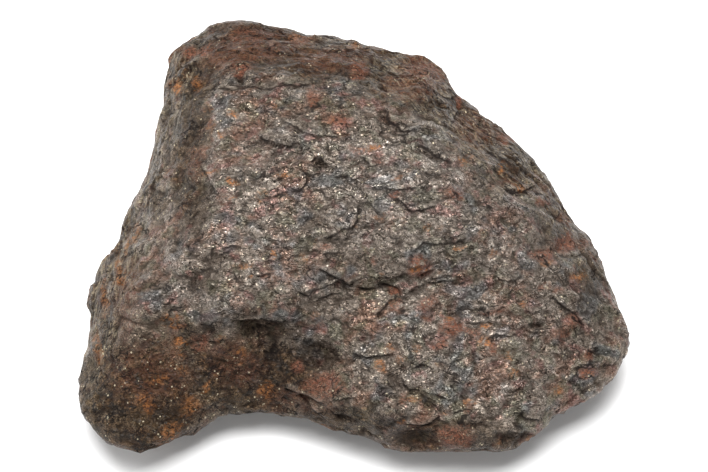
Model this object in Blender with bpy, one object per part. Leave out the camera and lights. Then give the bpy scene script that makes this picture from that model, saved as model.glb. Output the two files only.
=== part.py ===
"""Iron meteorite: one solid lump of nickel-iron, about 76 mm across, lying on a small flat spot.

The stone is a thick, three-cornered slab. Its broad face slopes towards the viewer, a bevel falls away
behind, the left flank is steep, and a buttress runs down to the lower left with a hollow beside it.

The form is sculpted in a drawing plane, as someone sees the stone who leans over it from the front.
The drawing is 708 by 472 units, x to the right and y down, and one unit is UNIT_MM. Three things
define the solid:
  OUTLINE   the edge of the stone in the drawing
  HEIGHTS   how high its upper surface lies above the table, at points of the drawing
  the foot  the flat spot below, and how the underside rises away from it
The surface is found by going out from a point inside along evenly spread rays. Lengths are in
millimetres until the last step. The part's frame: +Z up, origin under the middle of its box.
"""

import math

import bmesh
import bpy
import numpy as np

# ---------------------------------------------------------------- driving dimensions
UNIT_MM = 0.139          # one drawing unit
VIEW_UP_DEG = 58.0       # the drawing is seen from this far above the horizon
VIEW_DISTANCE = 400.0    # from the eye to the drawing's middle
MIDDLE = (354.0, 236.0)  # the drawing's middle, in drawing units
MIDDLE_HEIGHT = 12.0     # its height above the table

FOOT_CENTRE = (-2.0, -1.0)  # middle of the flat spot
FOOT_RADII = (14.5, 11.0)   # its half length and half width
FOOT_DEPTH = 0.9            # how far the table's plane cuts into the swelling of the underside

EDGE_ROUND = 3.0        # rounding between the upper surface and the walls
UNDER_ROUND = 4.0       # rounding between the walls and the underside
EDGE_OUT = 0.62         # makes up for what the rounding takes off the edge
WALL_TUCK = 2.2         # how far the walls draw in towards the table
BACK_TUCK = 0.5         # how fast they draw in behind, where they stand upright

CENTRE = (0.0, 0.0, 9.5)      # the point inside that rays start from
SPREAD = (34.0, 29.0, 15.5)   # the ellipsoid that spaces the rays
DIVISIONS = 27                # along each side of the six patches of rays

# The edge of the stone in the drawing, clockwise from the top left.
OUTLINE = [
    (222, 17), (240, 18), (256, 21), (273, 26), (288, 30), (297, 34), (308, 35.5), (319, 32.5),
    (331, 32), (348, 36), (368, 40.5), (384, 47), (394, 51), (401, 50.5), (410, 53.5), (417, 52.5),
    (431, 55), (443, 62), (452, 72), (459, 86), (471, 97), (484, 109), (493, 117), (503, 121),
    (511, 129), (525, 143), (537, 160), (547, 178), (557, 196), (570, 219), (587, 238), (599, 257),
    (608, 273), (615, 295), (622, 312), (628, 337), (625, 354), (614, 372), (599, 387), (577, 403),
    (555, 418), (541, 432), (522, 445), (500, 455), (478, 457), (450, 455), (424, 454), (399, 450),
    (372, 441), (345, 431), (318, 425), (296, 418), (275, 414), (256, 415), (238, 416), (220, 418),
    (204, 426), (187, 436), (168, 449), (151, 457), (136, 459), (118, 453), (103, 442), (91, 427),
    (82, 409), (82, 388), (86, 360), (89, 325), (92, 302), (97, 278), (106, 262), (117, 248),
    (126, 229), (136, 199), (145, 174), (153, 144), (160, 115), (161, 88), (165, 66), (174, 52),
    (189, 41), (201, 31), (210, 21.5),
]

# Height of the upper surface above the table, at points of the drawing.
HEIGHTS = [
    # along the far edge, from the upper left corner to the right corner
    (232, 24, 15.5), (300, 41, 15.5), (360, 46, 14.5), (428, 62, 13.5), (452, 88, 13), (492, 126, 12),
    (532, 166, 12), (572, 232, 11.5), (602, 284, 10.5), (618, 340, 9.5),
    # along the near edge, back to the left
    (594, 383, 9), (548, 415, 8.4), (490, 449, 7.6), (425, 447, 7.4), (362, 430, 7.4), (306, 414, 7),
    (265, 408, 7), (210, 416, 7), (165, 444, 7.2), (132, 451, 7.4), (104, 434, 8.2), (88, 402, 9),
    # up the left wall
    (94, 335, 9.6), (102, 282, 11), (122, 250, 11.6), (145, 190, 12.4), (165, 105, 13.8), (176, 62, 14.6),
    (204, 38, 15.5),
    # the line where the left wall turns onto the left flank
    (173, 100, 17), (166, 150, 16.2), (151, 200, 14.8), (134, 240, 13.6), (119, 270, 12.8),
    (109, 310, 13), (102, 350, 12), (97, 390, 10.4),
    # the left flank
    (192, 130, 20.8), (181, 180, 19.8), (167, 220, 18.8), (152, 255, 17.6), (136, 282, 17.2),
    # the left shoulder of the broad face
    (214, 130, 23.7), (213, 170, 23.6), (206, 210, 23.0), (196, 248, 22.0), (182, 278, 20.4),
    # the bevel behind the broad face
    (190, 64, 17.0), (204, 80, 19.6), (232, 52, 20.2), (300, 62, 20.6), (350, 66, 20.6), (396, 82, 20.2),
    (430, 78, 18.4), (448, 112, 18.8), (480, 140, 18.2), (502, 152, 17.4), (522, 164, 15.4),
    (552, 208, 14.6),
    # the upper rim of the broad face
    (226, 98, 23.8), (260, 92, 24.2), (300, 95, 24.7), (340, 102, 24.9), (372, 114, 24.8),
    (402, 130, 24.5), (432, 150, 24.0), (472, 170, 22.4), (510, 187, 20.2), (540, 208, 17.6),
    # the broad face, row by row
    (250, 130, 24.6), (300, 132, 25.4), (350, 142, 25.6), (400, 162, 25.2), (450, 184, 24.2),
    (500, 212, 21.6), (540, 242, 18.4), (575, 262, 15), (597, 292, 12.6), (608, 330, 11),
    (250, 182, 24.4), (300, 180, 24.6), (350, 192, 24.6), (400, 206, 24.2), (450, 222, 23.2),
    (500, 252, 20.4), (552, 282, 16.4), (240, 232, 23.6), (290, 232, 24.0), (340, 236, 23.7),
    (390, 242, 23.0), (430, 247, 22.0), (228, 282, 22.0), (280, 278, 21.6), (330, 268, 21.4),
    (380, 268, 20.8), (424, 268, 19.9), (462, 280, 18.9), (510, 302, 16.9), (562, 320, 13.8),
    # the step below it
    (352, 292, 18.3), (385, 288, 18.0), (402, 296, 17.4), (212, 308, 20.2), (250, 308, 19.6),
    (300, 308, 18.4), (350, 312, 17.6), (402, 318, 16.9), (452, 320, 16.8), (500, 340, 15.2),
    (550, 352, 12.8), (588, 346, 11.4),
    # the hollow between the buttress and the lower right
    (200, 332, 16.4), (250, 336, 14.6), (290, 346, 13.2), (322, 352, 13.2), (352, 346, 15.2),
    (222, 370, 11.8), (260, 376, 10.8), (300, 378, 11.6), (332, 386, 12.2), (232, 400, 8.6),
    (270, 398, 8.0), (310, 404, 8.6), (350, 412, 10.0),
    # the lower right
    (382, 360, 15.0), (430, 370, 14.5), (480, 382, 13.4), (540, 386, 11.3), (580, 374, 10.3),
    (400, 404, 12.4), (450, 408, 12.2), (500, 412, 11.2), (540, 404, 10.2), (380, 428, 9.6),
    (430, 434, 9.6), (480, 438, 9.2), (520, 430, 9.2),
    # the buttress
    (130, 300, 17.6), (160, 298, 19.0), (186, 302, 18.6), (120, 340, 14.8), (160, 340, 15.6),
    (192, 350, 13.9), (114, 380, 12.4), (150, 386, 12.3), (188, 390, 10.8), (110, 414, 10.2),
    (140, 424, 9.9), (178, 420, 9.3), (206, 404, 9.0), (130, 442, 8.6), (160, 436, 8.6),
]

EDGE_HEIGHT = (5.0, 10.0)  # height of the stone's widest line at the drawing's foot, and its gain at the top

UP = math.radians(VIEW_UP_DEG)


def closed_curve(points, steps):
    """A smooth closed curve through the points (Catmull-Rom)."""
    p = np.array(points, float)
    a, b, c, d = np.roll(p, 1, 0), p, np.roll(p, -1, 0), np.roll(p, -2, 0)
    t = np.arange(steps)[:, None, None] / steps
    q = 0.5 * (2 * b + (c - a) * t + (2 * a - 5 * b + 4 * c - d) * t**2 + (3 * b - a - 3 * c + d) * t**3)
    return q.transpose(1, 0, 2).reshape(-1, 2)


def outline_distance(xy, curve):
    """Distance from each point to the closed curve, negative inside."""
    a, b = curve, np.roll(curve, -1, 0)
    e = b - a
    best = np.full(len(xy), 1e18)
    inside = np.zeros(len(xy), bool)
    for (ax, ay), (bx, by), (ex, ey) in zip(a, b, e):
        dx, dy = xy[:, 0] - ax, xy[:, 1] - ay
        t = np.clip((dx * ex + dy * ey) / (ex * ex + ey * ey), 0, 1)
        best = np.minimum(best, (dx - ex * t) ** 2 + (dy - ey * t) ** 2)
        crosses = (ay > xy[:, 1]) != (by > xy[:, 1])
        if ey:
            inside ^= crosses & (xy[:, 0] < ax + (xy[:, 1] - ay) * ex / ey)
    return np.sqrt(best) * np.where(inside, -1, 1)


class Surface:
    """A smooth sheet through scattered heights: a thin-plate spline, slightly slack."""

    def __init__(self, points, slack):
        p = np.array(points, float)
        self.at, n = p[:, :2] / 100, len(p)
        k = self.kernel(self.at)
        k[np.arange(n), np.arange(n)] += slack
        plane = np.hstack([np.ones((n, 1)), self.at])
        system = np.block([[k, plane], [plane.T, np.zeros((3, 3))]])
        self.weights = np.linalg.solve(system, np.concatenate([p[:, 2], np.zeros(3)]))

    def kernel(self, xy):
        r2 = ((xy[:, None, :] - self.at[None, :, :]) ** 2).sum(2) + 1e-12
        return 0.5 * r2 * np.log(r2)

    def __call__(self, xy):
        out = np.empty(len(xy))
        for i in range(0, len(xy), 20000):
            q = xy[i : i + 20000] / 100
            out[i : i + 20000] = self.kernel(q) @ self.weights[:-3] + self.weights[-3] + q @ self.weights[-2:]
        return out


def lumps(p, size, seed):
    """Smooth noise from -1 to 1 with features of this size, the same each time."""
    q = p / size
    cell = np.floor(q).astype(np.int64)
    f = q - cell
    w = f * f * f * (f * (f * 6 - 15) + 10)
    total = np.zeros(len(p))
    for corner in range(8):
        o = np.array([corner >> 2 & 1, corner >> 1 & 1, corner & 1])
        c = cell + o
        h = (c[:, 0] * 73856093) ^ (c[:, 1] * 19349663) ^ (c[:, 2] * 83492791) ^ (seed * 2654435761)
        h = (h ^ (h >> 13)) * 1274126177 & 0x7FFFFFFF
        h = (h ^ (h >> 16)) & 0x7FFFFFFF
        z = (h % 20011) / 10005.5 - 1
        a = (h // 20011 % 9973) / 9973 * 2 * math.pi
        s = np.sqrt(np.maximum(0, 1 - z * z))
        d = f - o
        dot = d[:, 0] * s * np.cos(a) + d[:, 1] * s * np.sin(a) + d[:, 2] * z
        total += dot * np.prod(np.where(o, w, 1 - w), axis=1)
    return total * 1.6


def soft_max(a, b, k):
    return np.maximum(a, b) + np.maximum(k - np.abs(a - b), 0) ** 2 / (4 * k)


def ramp(x, lo, hi):
    t = np.clip((x - lo) / (hi - lo), 0, 1)
    return t * t * (3 - 2 * t)


def eased(points, rounds):
    """The same closed line with its small turns taken out."""
    p = np.array(points, float)
    for _ in range(rounds):
        p = (np.roll(p, 1, 0) + 2 * p + np.roll(p, -1, 0)) / 4
    return p


# Corners are drawn out a little, since the rounding of the edge takes them back.
EDGE = closed_curve(np.array(OUTLINE, float) * 1.6 - eased(OUTLINE, 3) * 0.6, 2)
EDGE_EASED = eased(OUTLINE, 14)
UPPER = Surface(HEIGHTS, 0.0006)


def drawing_place(p):
    """Where points of the stone, in millimetres, lie in the drawing."""
    y, z = p[:, 1], p[:, 2] - MIDDLE_HEIGHT
    v = y * math.sin(UP) + z * math.cos(UP)
    w = -y * math.cos(UP) + z * math.sin(UP)
    grow = VIEW_DISTANCE / (VIEW_DISTANCE - w) / UNIT_MM
    return np.stack([MIDDLE[0] + p[:, 0] * grow, MIDDLE[1] - v * grow], axis=1)


def solid(p):
    """Negative inside the stone, zero on its surface. p is in millimetres."""
    x, y, z = p.T
    at = drawing_place(p)
    edge_height = EDGE_HEIGHT[0] + EDGE_HEIGHT[1] * (457 - at[:, 1]) / 440
    drop = np.maximum(edge_height - z, 0)
    below = np.minimum(drop / edge_height, 1.2)
    hidden = ramp(below, 0.0, 0.45)
    behind = ramp(-at[:, 1], -330, -90)
    edge = outline_distance(at, EDGE) * (1 - hidden) + outline_distance(at, EDGE_EASED) * hidden
    walls = edge * UNIT_MM - EDGE_OUT + WALL_TUCK * below**2 + behind * BACK_TUCK * drop * ramp(drop, 0, 6)
    upper = (z - UPPER(at)) * 0.8
    out = np.hypot((x - FOOT_CENTRE[0]) / FOOT_RADII[0], (y - FOOT_CENTRE[1]) / FOOT_RADII[1])
    out = out * (1 + 0.2 * lumps(p * (1, 1, 0), 14.0, 5))
    under = np.where(out < 1, out**2 - 1, 2 * (out - 1)) * FOOT_DEPTH - z
    value = soft_max(soft_max(walls, upper, EDGE_ROUND), under, UNDER_ROUND)
    rough = 0.8 * lumps(p, 17.0, 1) + 0.4 * lumps(p, 8.0, 2)
    return value + (0.1 * rough + 1.5 * hidden * (rough + 0.4)) * ramp(out, 1.0, 1.7)


def ray_patches(n):
    """Unit directions over a sphere in six square patches, and the quads that join them."""
    found, rows, quads = {}, [], []

    def index(v):
        key = tuple(np.round(v, 6))
        if key not in found:
            found[key] = len(rows)
            rows.append(v)
        return found[key]

    line = np.tan(np.linspace(-math.pi / 4, math.pi / 4, n + 1))
    for axis in range(3):
        for side in (-1, 1):
            grid = []
            for a in line:
                row = []
                for b in line:
                    v = np.zeros(3)
                    v[axis], v[(axis + 1) % 3], v[(axis + 2) % 3] = side, a * side, b
                    row.append(index(v / np.linalg.norm(v)))
                grid.append(row)
            for i in range(n):
                for j in range(n):
                    quads.append((grid[i][j], grid[i + 1][j], grid[i + 1][j + 1], grid[i][j + 1]))
    return np.array(rows), quads


def surface_points(directions):
    """Where rays from CENTRE leave the stone."""
    away = directions * SPREAD
    away /= np.linalg.norm(away, axis=1)[:, None]
    lo, hi = np.full(len(away), 2.0), np.full(len(away), 60.0)
    for _ in range(22):
        mid = (lo + hi) / 2
        inside = solid(np.array(CENTRE) + away * mid[:, None]) < 0
        lo, hi = np.where(inside, mid, lo), np.where(inside, hi, mid)
    return np.array(CENTRE) + away * ((lo + hi) / 2)[:, None]


def relaxed(points, quads, rounds):
    """Evens out the spacing of the points along the surface."""
    q = np.array(quads)
    ends = np.concatenate([q[:, [0, 1]], q[:, [1, 2]], q[:, [2, 3]], q[:, [3, 0]]])
    ends = np.unique(np.sort(ends, axis=1), axis=0)
    count = np.bincount(ends.ravel(), minlength=len(points))[:, None]
    for _ in range(rounds):
        total = np.zeros_like(points)
        np.add.at(total, ends[:, 0], points[ends[:, 1]])
        np.add.at(total, ends[:, 1], points[ends[:, 0]])
        points = points + 0.5 * (total / count - points)
        for _ in range(2):
            value, step = solid(points), 0.02
            slope = np.stack([(solid(points + step * e) - value) / step for e in np.eye(3)], axis=1)
            move = slope * (value / np.maximum((slope**2).sum(1), 0.05))[:, None]
            length = np.linalg.norm(move, axis=1)[:, None]
            points = points - move * np.minimum(1, 1.0 / np.maximum(length, 1e-9))
    return points


def main():
    for old in list(bpy.data.objects):
        bpy.data.objects.remove(old, do_unlink=True)

    directions, quads = ray_patches(DIVISIONS)
    points = relaxed(surface_points(directions), quads, 3)
    points[:, :2] -= (points[:, :2].min(0) + points[:, :2].max(0)) / 2

    mesh = bpy.data.meshes.new("meteorite")
    bm = bmesh.new()
    verts = [bm.verts.new(p / 1000) for p in points]
    for quad in quads:
        bm.faces.new([verts[i] for i in quad])
    bmesh.ops.recalc_face_normals(bm, faces=bm.faces)
    # The flat spot: the table's plane cuts the swelling of the underside.
    everything = bm.verts[:] + bm.edges[:] + bm.faces[:]
    bmesh.ops.bisect_plane(bm, geom=everything, dist=2e-5, plane_co=(0, 0, 0), plane_no=(0, 0, -1), clear_outer=True)
    rim = [e for e in bm.edges if e.is_boundary]
    bmesh.ops.contextual_create(bm, geom=rim)
    bmesh.ops.triangulate(bm, faces=bm.faces, quad_method="SHORT_EDGE", ngon_method="BEAUTY")
    bmesh.ops.recalc_face_normals(bm, faces=bm.faces)
    bm.to_mesh(mesh)
    bm.free()

    stone = bpy.data.objects.new("meteorite", mesh)
    bpy.context.scene.collection.objects.link(stone)
    mesh.shade_smooth()
    mesh.set_sharp_from_angle(angle=math.radians(40))

    iron = bpy.data.materials.new("weathered_iron")
    iron.use_nodes = True
    look = iron.node_tree.nodes["Principled BSDF"]
    look.inputs["Base Color"].default_value = (0.105, 0.078, 0.064, 1)
    look.inputs["Roughness"].default_value = 0.5
    look.inputs["Metallic"].default_value = 0.35
    mesh.materials.append(iron)


main()
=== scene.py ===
"""Iron meteorite: the look of the stone.

The stone's form is the one of the model it stands for: an outline and a set of heights in a drawing
plane, a flat spot below, and rays that go out to the surface. Here the rays are far closer together,
and the surface gets its thumb prints, ledges, creases, pits and grain, and its rust.
Drawing units are 708 across and 472 down, x to the right and y down. Lengths are in millimetres
until the mesh is made.
"""

import math

import bpy
import numpy as np
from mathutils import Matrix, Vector


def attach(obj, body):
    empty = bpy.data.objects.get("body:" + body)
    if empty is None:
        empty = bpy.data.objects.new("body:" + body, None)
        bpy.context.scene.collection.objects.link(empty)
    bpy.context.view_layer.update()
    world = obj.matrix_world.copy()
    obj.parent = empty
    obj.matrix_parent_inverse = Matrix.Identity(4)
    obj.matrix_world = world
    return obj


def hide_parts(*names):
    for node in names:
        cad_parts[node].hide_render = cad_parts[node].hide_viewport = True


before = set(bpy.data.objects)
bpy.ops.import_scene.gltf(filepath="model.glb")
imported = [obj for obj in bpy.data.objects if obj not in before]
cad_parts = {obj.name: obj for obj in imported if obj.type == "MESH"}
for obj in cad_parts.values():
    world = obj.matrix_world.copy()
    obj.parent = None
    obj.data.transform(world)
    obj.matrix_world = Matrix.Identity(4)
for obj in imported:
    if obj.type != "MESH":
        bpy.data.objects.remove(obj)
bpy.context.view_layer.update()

# ---------------------------------------------------------------- the form, as in the model
UNIT_MM = 0.139
VIEW_UP_DEG = 58.0
VIEW_DISTANCE = 400.0
MIDDLE = (354.0, 236.0)
MIDDLE_HEIGHT = 12.0

FOOT_CENTRE = (-2.0, -1.0)
FOOT_RADII = (14.5, 11.0)
FOOT_DEPTH = 0.9

EDGE_ROUND = 3.0
UNDER_ROUND = 4.0
EDGE_OUT = 0.5
WALL_TUCK = 2.2
BACK_TUCK = 0.5

CENTRE = (0.0, 0.0, 9.5)
SPREAD = (34.0, 29.0, 15.5)
DIVISIONS = 128              # along each side of the six patches of rays
GATHER = 0.25                # how much closer together the rays are on top than below
SHIFT = (-0.174, -2.784)     # from the drawing's frame to the model's frame

OUTLINE = [
    (222, 17), (240, 18), (256, 21), (273, 26), (288, 30), (297, 34), (308, 35.5), (319, 32.5),
    (331, 32), (348, 36), (368, 40.5), (384, 47), (394, 51), (401, 50.5), (410, 53.5), (417, 52.5),
    (431, 55), (443, 62), (452, 72), (459, 86), (471, 97), (484, 109), (493, 117), (503, 121),
    (511, 129), (525, 143), (537, 160), (547, 178), (557, 196), (570, 219), (587, 238), (599, 257),
    (608, 273), (615, 295), (622, 312), (628, 337), (625, 354), (614, 372), (599, 387), (577, 403),
    (555, 418), (541, 432), (522, 445), (500, 455), (478, 457), (450, 455), (424, 454), (399, 450),
    (372, 441), (345, 431), (318, 425), (296, 418), (275, 414), (256, 415), (238, 416), (220, 418),
    (204, 426), (187, 436), (168, 449), (151, 457), (136, 459), (118, 453), (103, 442), (91, 427),
    (82, 409), (82, 388), (86, 360), (89, 325), (92, 302), (97, 278), (106, 262), (117, 248),
    (126, 229), (136, 199), (145, 174), (153, 144), (160, 115), (161, 88), (165, 66), (174, 52),
    (189, 41), (201, 31), (210, 21.5),
]

HEIGHTS = [
    (232, 24, 15.5), (300, 41, 15.5), (360, 46, 14.5), (428, 62, 13.5), (452, 88, 13), (492, 126, 12),
    (532, 166, 12), (572, 232, 11.5), (602, 284, 10.5), (618, 340, 9.5),
    (594, 383, 9), (548, 415, 8.4), (490, 449, 7.6), (425, 447, 7.4), (362, 430, 7.4), (306, 414, 7),
    (265, 408, 7), (210, 416, 7), (165, 444, 7.2), (132, 451, 7.4), (104, 434, 8.2), (88, 402, 9),
    (94, 335, 9.6), (102, 282, 11), (122, 250, 11.6), (145, 190, 12.4), (165, 105, 13.8), (176, 62, 14.6),
    (204, 38, 15.5),
    (173, 100, 17), (166, 150, 16.2), (151, 200, 14.8), (134, 240, 13.6), (119, 270, 12.8),
    (109, 310, 13), (102, 350, 12), (97, 390, 10.4),
    (192, 130, 20.8), (181, 180, 19.8), (167, 220, 18.8), (152, 255, 17.6), (136, 282, 17.2),
    (214, 130, 23.7), (213, 170, 23.6), (206, 210, 23.0), (196, 248, 22.0), (182, 278, 20.4),
    (190, 64, 17.0), (204, 80, 19.6), (232, 52, 20.2), (300, 62, 20.6), (350, 66, 20.6), (396, 82, 20.2),
    (430, 78, 18.4), (448, 112, 18.8), (480, 140, 18.2), (502, 152, 17.4), (522, 164, 15.4),
    (552, 208, 14.6),
    (226, 98, 23.8), (260, 92, 24.2), (300, 95, 24.7), (340, 102, 24.9), (372, 114, 24.8),
    (402, 130, 24.5), (432, 150, 24.0), (472, 170, 22.4), (510, 187, 20.2), (540, 208, 17.6),
    (250, 130, 24.6), (300, 132, 25.4), (350, 142, 25.6), (400, 162, 25.2), (450, 184, 24.2),
    (500, 212, 21.6), (540, 242, 18.4), (575, 262, 15), (597, 292, 12.6), (608, 330, 11),
    (250, 182, 24.4), (300, 180, 24.6), (350, 192, 24.6), (400, 206, 24.2), (450, 222, 23.2),
    (500, 252, 20.4), (552, 282, 16.4), (240, 232, 23.6), (290, 232, 24.0), (340, 236, 23.7),
    (390, 242, 23.0), (430, 247, 22.0), (228, 282, 22.0), (280, 278, 21.6), (330, 268, 21.4),
    (380, 268, 20.8), (424, 268, 19.9), (462, 280, 18.9), (510, 302, 16.9), (562, 320, 13.8),
    (352, 292, 18.3), (385, 288, 18.0), (402, 296, 17.4), (212, 308, 20.2), (250, 308, 19.6),
    (300, 308, 18.4), (350, 312, 17.6), (402, 318, 16.9), (452, 320, 16.8), (500, 340, 15.2),
    (550, 352, 12.8), (588, 346, 11.4),
    (200, 332, 16.4), (250, 336, 14.6), (290, 346, 13.2), (322, 352, 13.2), (352, 346, 15.2),
    (222, 370, 11.8), (260, 376, 10.8), (300, 378, 11.6), (332, 386, 12.2), (232, 400, 8.6),
    (270, 398, 8.0), (310, 404, 8.6), (350, 412, 10.0),
    (382, 360, 15.0), (430, 370, 14.5), (480, 382, 13.4), (540, 386, 11.3), (580, 374, 10.3),
    (400, 404, 12.4), (450, 408, 12.2), (500, 412, 11.2), (540, 404, 10.2), (380, 428, 9.6),
    (430, 434, 9.6), (480, 438, 9.2), (520, 430, 9.2),
    (130, 300, 17.6), (160, 298, 19.0), (186, 302, 18.6), (120, 340, 14.8), (160, 340, 15.6),
    (192, 350, 13.9), (114, 380, 12.4), (150, 386, 12.3), (188, 390, 10.8), (110, 414, 10.2),
    (140, 424, 9.9), (178, 420, 9.3), (206, 404, 9.0), (130, 442, 8.6), (160, 436, 8.6),
]

EDGE_HEIGHT = (5.0, 10.0)

UP = math.radians(VIEW_UP_DEG)

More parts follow.
